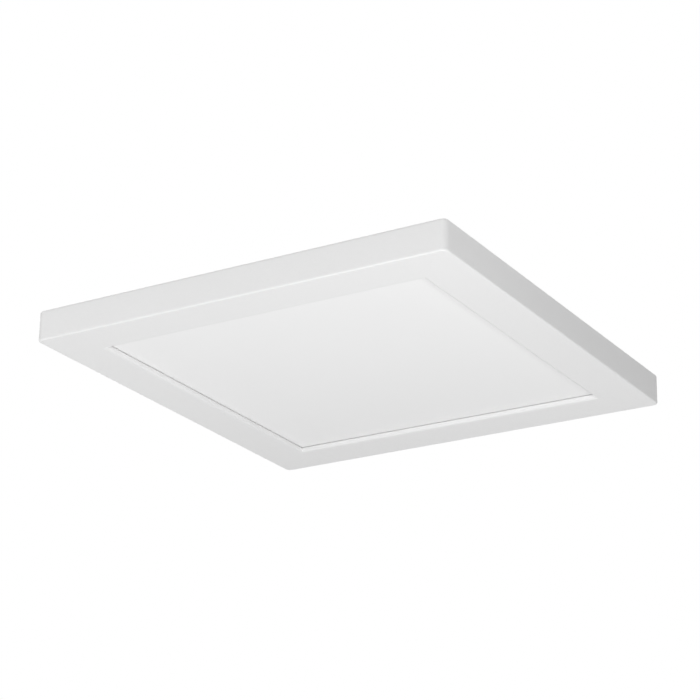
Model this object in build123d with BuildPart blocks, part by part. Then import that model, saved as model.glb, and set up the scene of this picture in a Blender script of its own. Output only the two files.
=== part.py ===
from build123d import *
import os
from math import cos, radians, sin

# Square surface-mount ceiling light with an edge-lit panel behind a round-lipped frame.
# Millimetres. The origin is the centre of the ceiling plane and +Z points up into the ceiling,
# so the light hangs below zero. The panel is lit from its -X (left) and +X (right) edges.

# Overall form, read from the photograph
side = 305.0
frame_depth = 21.4
ceiling_gap = 0.4
border = 30.5
corner_radius = 4.0
edge_radius = 1.2
rim_radius = 1.9

# Die-cast frame
wall = 2.3
inner_corner_radius = 2.0
floor_thickness = 1.8
lip_radius = 2.8
land = 0.2
rib_thickness = 2.0
boss_diameter = 7.0
fin_thickness = 1.6
fin_share = 0.55

# Optical stack on the seat, from the front to the back
seat_overlap = 3.3
gasket_thickness = 0.5
gasket_setback = 1.2
diffuser_thickness = 1.5
guide_thickness = 3.0
reflector_thickness = 0.4
foam_thickness = 1.5
foam_inset = 1.0
panel_corner_radius = 1.0

# Light strips along the two edges of the panel
tape_thickness = 0.25
strip_thickness = 1.0
strip_end_gap = 6.0
strip_clearance = 0.2
led_count = 46
led_depth = 0.7
led_length = 3.5
led_height = 2.6
led_gap = 0.4

# Rubber bumpers that centre the light guide between the other two edges
bumper_length = 18.0
bumper_spacing = 120.0
bumper_clearance = 0.1
bumper_drop = 1.0

# Steel back plate
plate_thickness = 1.0
plate_clearance = 0.5
plate_corner_radius = 2.0
bead_height = 0.8
bead_width = 8.0
bead_length = 124.0
bead_spacing = 30.0
bead_edge_gap = 18.0
bead_count = 3
bead_draft = 30.0

# Screws that hold the back plate, and the driver, in tapped holes
screw_diameter = 3.0
screw_length = 6.0
screw_head_diameter = 5.6
screw_head_height = 1.9
screw_head_chamfer = 0.8
screw_hole_clearance = 0.2
thread_clearance = 0.05
recess_width = 0.9
recess_length = 3.4
recess_depth = 0.9

# Mounting strap screwed to the ceiling box
strap_length = 190.0
strap_width = 44.0
strap_thickness = 1.6
strap_corner_radius = 8.0
flange_length = 116.0
flange_depth = 5.0
bend_radius = 2.0
box_screw_spacing = 79.4
box_slot_length = 14.6
box_slot_width = 5.2
wire_hole_radius = 14.0
earth_hole_x = 23.0
earth_hole_y = 12.0
earth_screw_diameter = 3.4
earth_washer_diameter = 8.4
earth_washer_thickness = 0.9
earth_head_width = 5.6
earth_head_height = 2.0

# Twist lock between the strap's headed studs and the hanger rails
hanger_radius = 80.0
twist_angle = 15.0
stud_tail_diameter = 4.0
shoulder_diameter = 4.8
stud_head_diameter = 10.0
stud_head_height = 2.0
stud_chamfer = 0.5
slot_clearance = 0.4
entry_clearance = 0.5
lock_gap = 0.3
strap_gap = 1.6
rail_thickness = 1.2
rail_width = 26.0
rail_margin = 6.0
rail_bend_radius = 1.8
foot_length = 12.0
rivet_diameter = 3.2
rivet_spacing = 13.0
rivet_clearance = 0.05
rivet_head_diameter = 6.0
rivet_head_height = 1.1
rivet_chamfer = 0.5

# Driver behind the panel
driver_length = 120.0
driver_width = 48.0
driver_edge_gap = 4.0
driver_top_gap = 0.9
driver_corner_radius = 3.0
case_wall = 1.2
case_inner_radius = 1.8
lid_thickness = 1.0
lid_clearance = 0.15
lid_lip_depth = 1.4
vent_count = 8
vent_pitch = 11.0
vent_row_spacing = 24.0
vent_width = 1.6
vent_length = 9.0
ear_length = 11.0
ear_width = 11.0
ear_thickness = 1.8
board_thickness = 1.0
board_gap = 1.0
post_height = 1.4
post_radius = 2.2
part_headroom = 0.4

# Parts on the driver board, and how far along it they stand from its middle
core_x = 23.0
capacitor_x = -35.0
choke_x = -10.0
chip_x = 46.0
core_length = 17.0
core_width = 15.0
core_leg = 3.2
winding_gap = 0.25
winding_build = 0.9
capacitor_length = 13.0
capacitor_spacing = 6.4
capacitor_share = 0.92
choke_diameter = 9.0
chip_length = 6.5
chip_width = 5.0
chip_height = 1.8
chip_spacing = 11.0
chip_count = 3
seat_gap = 0.05

# Push-in terminals for the building's wires
pole_count = 3
pole_pitch = 8.0
pole_edge = 3.0
terminal_depth = 15.0
terminal_gap = 0.2
terminal_top_gap = 1.8
terminal_edge_radius = 0.6
tongue_margin = 2.0
button_width = 4.4
button_clearance = 0.3
button_travel = 1.0
button_proud = 1.1
button_grip = 2.6
button_edge_radius = 0.4
button_slot_length = 2.4
button_slot_width = 0.8
button_slot_depth = 0.5
well_back_wall = 1.6
entry_size = 3.2
entry_depth = 6.4
entry_funnel = 0.7
clamp_thickness = 0.4
clamp_length = 3.2
clamp_clearance = 0.2
clamp_reach = 3.0
passage_height = 2.4
passage_margin = 1.5

# Leads from the driver to the light strips
lead_diameter = 1.3
lead_spacing = 2.4
lead_bend_radius = 2.0
bushing_bore = 5.0
bushing_wall = 1.0
bushing_collar = 1.4
bushing_collar_height = 1.0
bushing_clearance = 0.1
bushing_inset = 7.0
lead_slot_width = 7.0

# Levels, from the front of the light up to the ceiling
face_z = -ceiling_gap - frame_depth
floor_z = face_z + floor_thickness
seat_z = face_z + lip_radius + land
diffuser_z = seat_z + gasket_thickness
guide_z = diffuser_z + diffuser_thickness
reflector_z = guide_z + guide_thickness
foam_z = reflector_z + reflector_thickness
plate_z = foam_z + foam_thickness
plate_top_z = plate_z + plate_thickness

# Plan sizes that follow from the ones above
opening = side - 2 * border
aperture = opening - 2 * lip_radius
panel_side = aperture + 2 * seat_overlap
strip_room = led_gap + led_depth + strip_thickness + tape_thickness
rib_inner = panel_side / 2 + strip_room
rib_outer = rib_inner + rib_thickness
cavity = side - 2 * wall
plate_side = cavity - 2 * plate_clearance
boss_centre = (rib_outer + cavity / 2) / 2
boss_reach = cavity / 2 - rib_outer
boss_points = [
    (x * boss_centre, y * boss_centre)
    for x in (-1, 0, 1)
    for y in (-1, 0, 1)
    if (x, y) != (0, 0)
]

# Driver and terminal positions
driver_y = panel_side / 2 - driver_edge_gap - driver_width / 2
driver_front_y = driver_y - driver_width / 2
driver_back_y = driver_y + driver_width / 2
driver_top_z = -driver_top_gap
case_top_z = driver_top_z - lid_thickness
case_floor_z = plate_top_z + case_wall
board_z = case_floor_z + post_height
board_top_z = board_z + board_thickness
board_length = driver_length - 2 * (case_wall + board_gap)
board_width = driver_width - 2 * (case_wall + board_gap)
lid_lip_z = case_top_z - lid_lip_depth
part_height = lid_lip_z + lid_lip_depth - part_headroom - board_top_z
ear_x = driver_length / 2 + ear_length / 2
ear_points = [(-ear_x, driver_y), (ear_x, driver_y)]
terminal_width = (pole_count - 1) * pole_pitch + button_width + 2 * button_clearance + 2 * pole_edge
terminal_back_y = driver_front_y - terminal_gap
terminal_y = terminal_back_y - terminal_depth / 2
terminal_front_y = terminal_back_y - terminal_depth
terminal_top_z = -terminal_top_gap
well_width = button_width + 2 * button_clearance
well_y = terminal_back_y - well_back_wall - well_width / 2
well_depth = button_grip + button_travel + button_clearance
entry_floor_z = board_top_z + seat_gap
entry_z = entry_floor_z + entry_size / 2
board_front_y = driver_front_y + case_wall + board_gap
pole_xs = [(i - (pole_count - 1) / 2) * pole_pitch for i in range(pole_count)]

# Lead routes: down through the bushing, across the foam, then round the edge of the light guide
bushing_y = driver_back_y - bushing_inset
lead_z = foam_z + foam_thickness / 2
lane_y = panel_side / 2 + strip_room / 2
strip_x = rib_inner - tape_thickness - strip_thickness / 2
strip_length = panel_side - 2 * strip_end_gap
strip_height = plate_z - seat_z - 2 * strip_clearance

pieces = []


# Die-cast frame: a shallow tray with a round-lipped window, a seat, a rib round the panel and screw bosses
with BuildPart() as frame:
    with BuildSketch(Plane.XY.offset(face_z)):
        RectangleRounded(side, side, corner_radius)
    extrude(amount=frame_depth)
    fillet(frame.faces().sort_by(Axis.Z)[0].edges(), edge_radius)
    fillet(frame.faces().sort_by(Axis.Z)[-1].edges(), rim_radius)
    with BuildSketch(Plane.XY.offset(floor_z)):
        RectangleRounded(cavity, cavity, inner_corner_radius)
    extrude(amount=frame_depth, mode=Mode.SUBTRACT)
    with BuildSketch(Plane.XY.offset(floor_z)):
        Rectangle(2 * rib_outer, 2 * rib_outer)
    extrude(amount=plate_z - floor_z)
    with BuildSketch(Plane.XY.offset(floor_z)):
        with Locations(*boss_points):
            Circle(boss_diameter / 2)
    extrude(amount=plate_z - floor_z)
    with BuildSketch(Plane.XY.offset(floor_z)):
        with Locations(*boss_points):
            Rectangle(boss_reach, fin_thickness)
            Rectangle(fin_thickness, boss_reach)
    extrude(amount=fin_share * (plate_z - floor_z))
    with BuildSketch(Plane.XY.offset(seat_z)):
        Rectangle(2 * rib_inner, 2 * rib_inner)
    extrude(amount=frame_depth, mode=Mode.SUBTRACT)
    with BuildSketch(Plane.XY.offset(face_z)):
        Rectangle(aperture, aperture)
    extrude(amount=frame_depth, mode=Mode.SUBTRACT)
    fillet(frame.faces().sort_by(Axis.Z)[0].inner_wires()[0].edges(), lip_radius)
    with BuildSketch(Plane.XY.offset(plate_z)):
        with Locations(*boss_points):
            Circle(screw_diameter / 2 + thread_clearance)
    extrude(amount=floor_z - plate_z, mode=Mode.SUBTRACT)
frame.part.label = "frame"
pieces.append(frame.part)

# Foam gasket that keeps dust out; set back, so a shadow gap shows round the diffuser
with BuildPart() as diffuser_gasket:
    with BuildSketch(Plane.XY.offset(seat_z)):
        Rectangle(panel_side, panel_side)
        Rectangle(aperture + 2 * gasket_setback, aperture + 2 * gasket_setback, mode=Mode.SUBTRACT)
    extrude(amount=gasket_thickness)
diffuser_gasket.part.label = "diffuser_gasket"
pieces.append(diffuser_gasket.part)

# Opal diffuser
with BuildPart() as diffuser:
    with BuildSketch(Plane.XY.offset(diffuser_z)):
        RectangleRounded(panel_side, panel_side, panel_corner_radius)
    extrude(amount=diffuser_thickness)
diffuser.part.label = "diffuser"
pieces.append(diffuser.part)

# Clear light guide
with BuildPart() as light_guide:
    with BuildSketch(Plane.XY.offset(guide_z)):
        RectangleRounded(panel_side, panel_side, panel_corner_radius)
    extrude(amount=guide_thickness)
light_guide.part.label = "light_guide"
pieces.append(light_guide.part)

# White reflector sheet
with BuildPart() as reflector_sheet:
    with BuildSketch(Plane.XY.offset(reflector_z)):
        RectangleRounded(panel_side, panel_side, panel_corner_radius)
    extrude(amount=reflector_thickness)
reflector_sheet.part.label = "reflector_sheet"
pieces.append(reflector_sheet.part)

# Backing foam, with a slot where the leads run from the bushing to the panel's edge
with BuildPart() as backing_foam:
    with BuildSketch(Plane.XY.offset(foam_z)):
        Rectangle(panel_side - 2 * foam_inset, panel_side - 2 * foam_inset)
        with Locations((0, bushing_y)):
            Circle(lead_slot_width / 2, mode=Mode.SUBTRACT)
            Rectangle(
                lead_slot_width,
                panel_side / 2 - bushing_y,
                align=(Align.CENTER, Align.MIN),
                mode=Mode.SUBTRACT,
            )
    extrude(amount=foam_thickness)
backing_foam.part.label = "backing_foam"
pieces.append(backing_foam.part)


# Light strips, left and right: sticky thermal tape on the rib, board on the tape, LEDs on the board
def strip_pieces(hand, sign):
    tape_x = sign * (rib_inner - tape_thickness / 2)
    with BuildPart() as tape:
        with Locations((tape_x, 0, seat_z + strip_clearance)):
            Box(tape_thickness, strip_length, strip_height, align=(Align.CENTER, Align.CENTER, Align.MIN))
    tape.part.label = f"{hand}_thermal_tape"

    with BuildPart() as strip:
        with Locations((sign * strip_x, 0, seat_z + strip_clearance)):
            Box(strip_thickness, strip_length, strip_height, align=(Align.CENTER, Align.CENTER, Align.MIN))
    strip.part.label = f"{hand}_led_board"

    led_x = sign * (strip_x - strip_thickness / 2 - led_depth / 2)
    led_z = guide_z + guide_thickness / 2
    with BuildPart() as leds:
        with Locations(Location((led_x, 0, led_z))):
            with GridLocations(1, strip_length / led_count, 1, led_count):
                Box(led_depth, led_length, led_height)
    leds.part.label = f"{hand}_leds"
    pieces.extend([tape.part, strip.part, leds.part])


strip_pieces("left", -1)
strip_pieces("right", 1)

# Rubber bumpers between the rib and the two unlit edges of the panel
bumper_height = reflector_z - bumper_drop - seat_z
with BuildPart() as guide_bumpers:
    with Locations((0, 0, seat_z)):
        with GridLocations(bumper_spacing, 2 * lane_y, 2, 2):
            Box(
                bumper_length,
                strip_room - 2 * bumper_clearance,
                bumper_height,
                align=(Align.CENTER, Align.CENTER, Align.MIN),
            )
guide_bumpers.part.label = "guide_bumpers"
pieces.append(guide_bumpers.part)


# Hanger rails: places shared by the rails, their rivets and the back plate's rivet holes
pad_length = (
    2 * hanger_radius * sin(radians(twist_angle / 2))
    + stud_head_diameter
    + 2 * entry_clearance
    + 2 * rail_margin
)
pad_top_z = -strap_thickness - strap_gap
pad_middle_z = pad_top_z - rail_thickness / 2
foot_middle_z = plate_top_z + rail_thickness / 2
foot_centre = pad_length / 2 + rail_thickness / 2 + foot_length / 2
hanger_angles = {"right": 0, "left": 180}


def rail_plane(start_angle):
    middle = radians(start_angle + twist_angle / 2)
    outward = Vector(cos(middle), sin(middle), 0)
    return Plane((0, 0, 0), x_dir=(-sin(middle), cos(middle), 0), z_dir=outward)


def foot_places(start_angle):
    plane = rail_plane(start_angle)
    places = []
    for along in (-foot_centre, foot_centre):
        for across in (-rivet_spacing / 2, rivet_spacing / 2):
            spot = plane.from_local_coords(Vector(along, 0, hanger_radius + across))
            places.append((spot.X, spot.Y))
    return places


rivet_points = [spot for angle in hanger_angles.values() for spot in foot_places(angle)]

# Steel back plate with pressed beads that stiffen its free half
bead_points = [(0, i * bead_spacing + bead_edge_gap - boss_centre) for i in range(bead_count)]
with BuildPart() as back_plate:
    with BuildSketch(Plane.XY.offset(plate_z)):
        RectangleRounded(plate_side, plate_side, plate_corner_radius)
    extrude(amount=plate_thickness)
    with BuildSketch(Plane.XY.offset(plate_top_z)):
        with Locations(*bead_points):
            SlotOverall(bead_length, bead_width)
    extrude(amount=bead_height, taper=bead_draft)
    with BuildSketch(Plane.XY.offset(plate_z)):
        with Locations(*bead_points):
            SlotOverall(bead_length - 2 * plate_thickness, bead_width - 2 * plate_thickness)
    extrude(amount=bead_height, taper=bead_draft, mode=Mode.SUBTRACT)
    with BuildSketch(Plane.XY.offset(plate_z)):
        with Locations(*boss_points):
            Circle(screw_diameter / 2 + screw_hole_clearance)
        with Locations(*ear_points):
            Circle(screw_diameter / 2 + thread_clearance)
        with Locations(*rivet_points):
            Circle(rivet_diameter / 2 + rivet_clearance)
        with Locations((0, bushing_y)):
            Circle(bushing_bore / 2 + bushing_wall + bushing_clearance)
    extrude(amount=plate_thickness, mode=Mode.SUBTRACT)
back_plate.part.label = "back_plate"
pieces.append(back_plate.part)


# Pan-head screws with a cross recess, standing on the given points
def pan_screws(label, points, under_head_z, shank_length):
    with BuildPart() as screws:
        with BuildSketch(Plane.XY.offset(under_head_z)):
            with Locations(*points):
                Circle(screw_diameter / 2)
        extrude(amount=-shank_length)
        with BuildSketch(Plane.XY.offset(under_head_z)):
            with Locations(*points):
                Circle(screw_head_diameter / 2)
        extrude(amount=screw_head_height)
        chamfer(screws.faces().filter_by(Axis.Z).group_by(Axis.Z)[-1].edges(), screw_head_chamfer)
        with BuildSketch(Plane.XY.offset(under_head_z + screw_head_height)):
            with Locations(*points):
                Rectangle(recess_length, recess_width)
                Rectangle(recess_width, recess_length)
        extrude(amount=-recess_depth, mode=Mode.SUBTRACT)
    screws.part.label = label
    pieces.append(screws.part)


pan_screws("back_plate_screws", boss_points, plate_top_z, screw_length)

# Mounting strap: a channel with flat ends, slotted for the ceiling box's screws
with BuildPart() as mounting_plate:
    edge_y = (strap_width - strap_thickness) / 2
    with BuildSketch(Plane.YZ.offset(-flange_length / 2)):
        with BuildLine():
            FilletPolyline(
                (-edge_y, -flange_depth),
                (-edge_y, -strap_thickness / 2),
                (edge_y, -strap_thickness / 2),
                (edge_y, -flange_depth),
                radius=bend_radius,
            )
        trace(line_width=strap_thickness)
    extrude(amount=flange_length)
    with BuildSketch():
        RectangleRounded(strap_length, strap_width, strap_corner_radius)
        Rectangle(flange_length, strap_width, mode=Mode.SUBTRACT)
    extrude(amount=-strap_thickness)
    with BuildSketch():
        Circle(wire_hole_radius)
        with GridLocations(box_screw_spacing, 1, 2, 1):
            SlotOverall(box_slot_length, box_slot_width)
        with GridLocations(2 * hanger_radius, 1, 2, 1):
            Circle(stud_tail_diameter / 2 + rivet_clearance)
        with Locations((earth_hole_x, earth_hole_y)):
            Circle(earth_screw_diameter / 2 + thread_clearance)
    extrude(amount=-strap_thickness, mode=Mode.SUBTRACT)
mounting_plate.part.label = "mounting_plate"
pieces.append(mounting_plate.part)

# Headed studs riveted into the strap; the hanger rails hook over their heads
head_top_z = pad_top_z - rail_thickness - lock_gap
with BuildPart() as hanger_studs:
    with BuildSketch(Plane.XY.offset(-strap_thickness)):
        with GridLocations(2 * hanger_radius, 1, 2, 1):
            Circle(stud_tail_diameter / 2)
    extrude(amount=strap_thickness)
    with BuildSketch(Plane.XY.offset(-strap_thickness)):
        with GridLocations(2 * hanger_radius, 1, 2, 1):
            Circle(shoulder_diameter / 2)
    extrude(amount=head_top_z + strap_thickness)
    with BuildSketch(Plane.XY.offset(head_top_z)):
        with GridLocations(2 * hanger_radius, 1, 2, 1):
            Circle(stud_head_diameter / 2)
    extrude(amount=-stud_head_height)
    chamfer(hanger_studs.faces().filter_by(Axis.Z).group_by(Axis.Z)[0].edges(), stud_chamfer)
hanger_studs.part.label = "hanger_studs"
pieces.append(hanger_studs.part)

# Green earth screw: hexagon head on its own washer, driven up into the strap
with BuildPart() as earth_screw:
    with BuildSketch(Plane.XY.offset(-strap_thickness)):
        with Locations((earth_hole_x, earth_hole_y)):
            Circle(earth_screw_diameter / 2)
    extrude(amount=strap_thickness - thread_clearance)
    with BuildSketch(Plane.XY.offset(-strap_thickness)):
        with Locations((earth_hole_x, earth_hole_y)):
            Circle(earth_washer_diameter / 2)
    extrude(amount=-earth_washer_thickness)
    with BuildSketch(Plane.XY.offset(-strap_thickness - earth_washer_thickness)):
        with Locations((earth_hole_x, earth_hole_y)):
            RegularPolygon(earth_head_width / 2, 6, major_radius=False)
    extrude(amount=-earth_head_height)
    with BuildSketch(Plane.XY.offset(-strap_thickness - earth_washer_thickness - earth_head_height)):
        with Locations((earth_hole_x, earth_hole_y)):
            Rectangle(2 * earth_head_width, recess_width)
    extrude(amount=recess_depth, mode=Mode.SUBTRACT)
earth_screw.part.label = "earth_screw"
pieces.append(earth_screw.part)


# Hanger rail: a hat of sheet steel with an arc keyhole, riveted to the back plate
def hanger_rail(hand, start_angle):
    plane = rail_plane(start_angle).offset(hanger_radius - rail_width / 2)
    turn = radians(start_angle + twist_angle)
    with BuildPart() as rail:
        with BuildSketch(plane):
            with BuildLine():
                FilletPolyline(
                    (-pad_length / 2 - foot_length, foot_middle_z),
                    (-pad_length / 2, foot_middle_z),
                    (-pad_length / 2, pad_middle_z),
                    (pad_length / 2, pad_middle_z),
                    (pad_length / 2, foot_middle_z),
                    (pad_length / 2 + foot_length, foot_middle_z),
                    radius=rail_bend_radius,
                )
            trace(line_width=rail_thickness)
        extrude(amount=rail_width)
        with BuildSketch(Plane.XY.offset(pad_top_z)):
            SlotArc(
                CenterArc((0, 0), hanger_radius, start_angle, twist_angle, mode=Mode.PRIVATE),
                shoulder_diameter + 2 * slot_clearance,
            )
            with Locations((hanger_radius * cos(turn), hanger_radius * sin(turn))):
                Circle(stud_head_diameter / 2 + entry_clearance)
        extrude(amount=-rail_thickness, mode=Mode.SUBTRACT)
        with BuildSketch(Plane.XY.offset(plate_top_z)):
            with Locations(*foot_places(start_angle)):
                Circle(rivet_diameter / 2 + rivet_clearance)
        extrude(amount=rail_thickness, mode=Mode.SUBTRACT)
    rail.part.label = f"{hand}_hanger_rail"
    pieces.append(rail.part)


for hand, start_angle in hanger_angles.items():
    hanger_rail(hand, start_angle)

# Rivets through the rails' feet, flush under the back plate
with BuildPart() as hanger_rivets:
    with BuildSketch(Plane.XY.offset(plate_z)):
        with Locations(*rivet_points):
            Circle(rivet_diameter / 2)
    extrude(amount=plate_thickness + rail_thickness)
    with BuildSketch(Plane.XY.offset(plate_top_z + rail_thickness)):
        with Locations(*rivet_points):
            Circle(rivet_head_diameter / 2)
    extrude(amount=rivet_head_height)
    chamfer(hanger_rivets.faces().group_by(Axis.Z)[-1].edges(), rivet_chamfer)
hanger_rivets.part.label = "hanger_rivets"
pieces.append(hanger_rivets.part)

# Snap-in bushing that takes both leads through the back plate
with BuildPart() as lead_bushing:
    with BuildSketch(Plane.XY.offset(plate_z)):
        with Locations((0, bushing_y)):
            Circle(bushing_bore / 2 + bushing_wall)
    extrude(amount=plate_thickness)
    with BuildSketch(Plane.XY.offset(plate_top_z)):
        with Locations((0, bushing_y)):
            Circle(bushing_bore / 2 + bushing_wall + bushing_collar)
    extrude(amount=bushing_collar_height)
    with BuildSketch(Plane.XY.offset(plate_z)):
        with Locations((0, bushing_y)):
            Circle(bushing_bore / 2)
    extrude(amount=plate_thickness + bushing_collar_height, mode=Mode.SUBTRACT)
lead_bushing.part.label = "lead_bushing"
pieces.append(lead_bushing.part)


# Lead from the driver board to the end of one light strip
def lead(hand, sign):
    start_x = sign * lead_spacing / 2
    with BuildPart() as wire:
        with BuildLine():
            FilletPolyline(
                (start_x, bushing_y, board_z),
                (start_x, bushing_y, lead_z),
                (start_x, lane_y, lead_z),
                (sign * strip_x, lane_y, lead_z),
                (sign * strip_x, strip_length / 2, lead_z),
                radius=lead_bend_radius,
            )
        with BuildSketch(Plane((start_x, bushing_y, board_z))):
            Circle(lead_diameter / 2)
        sweep()
    wire.part.label = f"{hand}_lead"
    pieces.append(wire.part)


lead("left", -1)
lead("right", 1)

# Driver case: a tray with screw ears, board posts and a tongue in front for the terminals
with BuildPart() as driver_case:
    with BuildSketch(Plane.XY.offset(plate_top_z)):
        with Locations((0, driver_y)):
            RectangleRounded(driver_length, driver_width, driver_corner_radius)
    extrude(amount=case_top_z - plate_top_z)
    with BuildSketch(Plane.XY.offset(plate_top_z)):
        with Locations((0, driver_y)):
            RectangleRounded(driver_length + 2 * ear_length, ear_width, driver_corner_radius)
    extrude(amount=ear_thickness)
    with BuildSketch(Plane.XY.offset(plate_top_z)):
        with Locations((0, driver_front_y)):
            Rectangle(
                terminal_width + 2 * tongue_margin,
                terminal_depth + terminal_gap + tongue_margin,
                align=(Align.CENTER, Align.MAX),
            )
    extrude(amount=case_wall)
    with BuildSketch(Plane.XY.offset(case_floor_z)):
        with Locations((0, driver_y)):
            RectangleRounded(
                driver_length - 2 * case_wall,
                driver_width - 2 * case_wall,
                case_inner_radius,
            )
    extrude(amount=case_top_z - case_floor_z, mode=Mode.SUBTRACT)
    with BuildSketch(Plane.XY.offset(case_floor_z)):
        with Locations((0, driver_y)):
            with GridLocations(board_length - 2 * post_radius, board_width - 2 * post_radius, 2, 2):
                Circle(post_radius)
    extrude(amount=post_height)
    with BuildSketch(Plane.XY.offset(board_top_z)):
        with Locations((0, driver_front_y)):
            Rectangle(terminal_width - 2 * passage_margin, case_wall, align=(Align.CENTER, Align.MIN))
    extrude(amount=passage_height, mode=Mode.SUBTRACT)
    with BuildSketch(Plane.XY.offset(plate_top_z)):
        with Locations(*ear_points):
            Circle(screw_diameter / 2 + screw_hole_clearance)
        with Locations((0, bushing_y)):
            Circle(bushing_bore / 2 + bushing_wall + bushing_collar + bushing_clearance)
    extrude(amount=ear_thickness, mode=Mode.SUBTRACT)
driver_case.part.label = "driver_case"
pieces.append(driver_case.part)

# Driver lid with a lip inside the case and rows of vents
lip_length = driver_length - 2 * (case_wall + lid_clearance)
lip_width = driver_width - 2 * (case_wall + lid_clearance)
with BuildPart() as driver_lid:
    with BuildSketch(Plane.XY.offset(case_top_z)):
        with Locations((0, driver_y)):
            RectangleRounded(driver_length, driver_width, driver_corner_radius)
    extrude(amount=lid_thickness)
    with BuildSketch(Plane.XY.offset(lid_lip_z)):
        with Locations((0, driver_y)):
            RectangleRounded(lip_length, lip_width, case_inner_radius)
            RectangleRounded(
                lip_length - 2 * lid_thickness,
                lip_width - 2 * lid_thickness,
                case_inner_radius,
                mode=Mode.SUBTRACT,
            )
    extrude(amount=lid_lip_depth)
    with BuildSketch(Plane.XY.offset(case_top_z)):
        with Locations((0, driver_y)):
            with GridLocations(vent_pitch, vent_row_spacing, vent_count, 2):
                SlotOverall(vent_length, vent_width, rotation=90)
    extrude(amount=lid_thickness, mode=Mode.SUBTRACT)
driver_lid.part.label = "driver_lid"
pieces.append(driver_lid.part)

# Driver screws through the case's ears into the back plate
pan_screws("driver_screws", ear_points, plate_top_z + ear_thickness, ear_thickness + plate_thickness)

# Driver circuit board
with BuildPart() as driver_board:
    with BuildSketch(Plane.XY.offset(board_z)):
        with Locations((0, driver_y)):
            Rectangle(board_length, board_width)
    extrude(amount=board_thickness)
driver_board.part.label = "driver_board"
pieces.append(driver_board.part)

# Transformer: a ferrite core with a winding round its thinner middle leg
window_length = (core_length - 3 * core_leg) / 2
window_width = core_width - 2 * core_leg
with BuildPart() as transformer_core:
    with BuildSketch(Plane.XY.offset(board_top_z)):
        with Locations((core_x, driver_y)):
            Rectangle(core_length, core_width)
            with GridLocations(window_length + core_leg, 1, 2, 1):
                Rectangle(window_length, window_width, mode=Mode.SUBTRACT)
    extrude(amount=part_height)
    with BuildSketch(Plane.XY.offset(board_top_z)):
        with Locations((core_x, driver_y)):
            Rectangle(core_leg, window_width)
    extrude(amount=winding_build + winding_gap, mode=Mode.SUBTRACT)
    with BuildSketch(Plane.XY.offset(board_top_z + part_height)):
        with Locations((core_x, driver_y)):
            Rectangle(core_leg, window_width)
    extrude(amount=-winding_build - winding_gap, mode=Mode.SUBTRACT)
transformer_core.part.label = "transformer_core"
pieces.append(transformer_core.part)

with BuildPart() as transformer_winding:
    with BuildSketch(Plane.XZ.offset(-driver_y)):
        with Locations((core_x, board_top_z + part_height / 2)):
            Rectangle(core_leg + 2 * (window_length - winding_gap), part_height)
            Rectangle(
                core_leg + 2 * winding_gap,
                part_height - 2 * winding_build,
                mode=Mode.SUBTRACT,
            )
    extrude(amount=window_width / 2 - winding_gap, both=True)
transformer_winding.part.label = "transformer_winding"
pieces.append(transformer_winding.part)

# Smoothing capacitors lying on the board
capacitor_radius = capacitor_share * part_height / 2
with BuildPart() as driver_capacitors:
    with BuildSketch(Plane.YZ.offset(capacitor_x)):
        with Locations((driver_y, board_top_z + seat_gap + capacitor_radius)):
            with GridLocations(capacitor_spacing, 1, 2, 1):
                Circle(capacitor_radius)
    extrude(amount=capacitor_length / 2, both=True)
driver_capacitors.part.label = "driver_capacitors"
pieces.append(driver_capacitors.part)

# Choke: a drum core standing on the board
with BuildPart() as driver_choke:
    with BuildSketch(Plane.XY.offset(board_top_z)):
        with Locations((choke_x, driver_y)):
            Circle(choke_diameter / 2)
    extrude(amount=part_height)
driver_choke.part.label = "driver_choke"
pieces.append(driver_choke.part)

# Rectifier, controller and switch
with BuildPart() as driver_chips:
    with BuildSketch(Plane.XY.offset(board_top_z)):
        with Locations((chip_x, driver_y)):
            with GridLocations(1, chip_spacing, 1, chip_count):
                Rectangle(chip_length, chip_width)
    extrude(amount=chip_height)
driver_chips.part.label = "driver_chips"
pieces.append(driver_chips.part)

# Terminal block: a funnelled wire entry in front and a button well on top for each pole
with BuildPart() as terminal_block:
    with BuildSketch(Plane.XY.offset(case_floor_z)):
        with Locations((0, terminal_y)):
            Rectangle(terminal_width, terminal_depth)
    extrude(amount=terminal_top_z - case_floor_z)
    fillet(terminal_block.edges().filter_by(Axis.Z), terminal_edge_radius)
    with BuildSketch(Plane.XY.offset(terminal_top_z)):
        for x in pole_xs:
            with Locations((x, well_y)):
                Rectangle(well_width, well_width)
    extrude(amount=-well_depth, mode=Mode.SUBTRACT)
    with BuildSketch(Plane.XZ.offset(-terminal_front_y)):
        for x in pole_xs:
            with Locations((x, entry_z)):
                Rectangle(entry_size, entry_size)
    extrude(amount=-entry_depth, mode=Mode.SUBTRACT)
    mouth = terminal_block.faces().filter_by(Axis.Y).sort_by(Axis.Y)[0]
    for wire in mouth.inner_wires():
        chamfer(wire.edges(), entry_funnel)
    with BuildSketch(Plane.XY.offset(entry_floor_z)):
        for x in pole_xs:
            with Locations((x, terminal_back_y)):
                Rectangle(entry_size, terminal_depth - entry_depth, align=(Align.CENTER, Align.MAX))
    extrude(amount=clamp_thickness + clamp_clearance, mode=Mode.SUBTRACT)
terminal_block.part.label = "terminal_block"
pieces.append(terminal_block.part)

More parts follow.
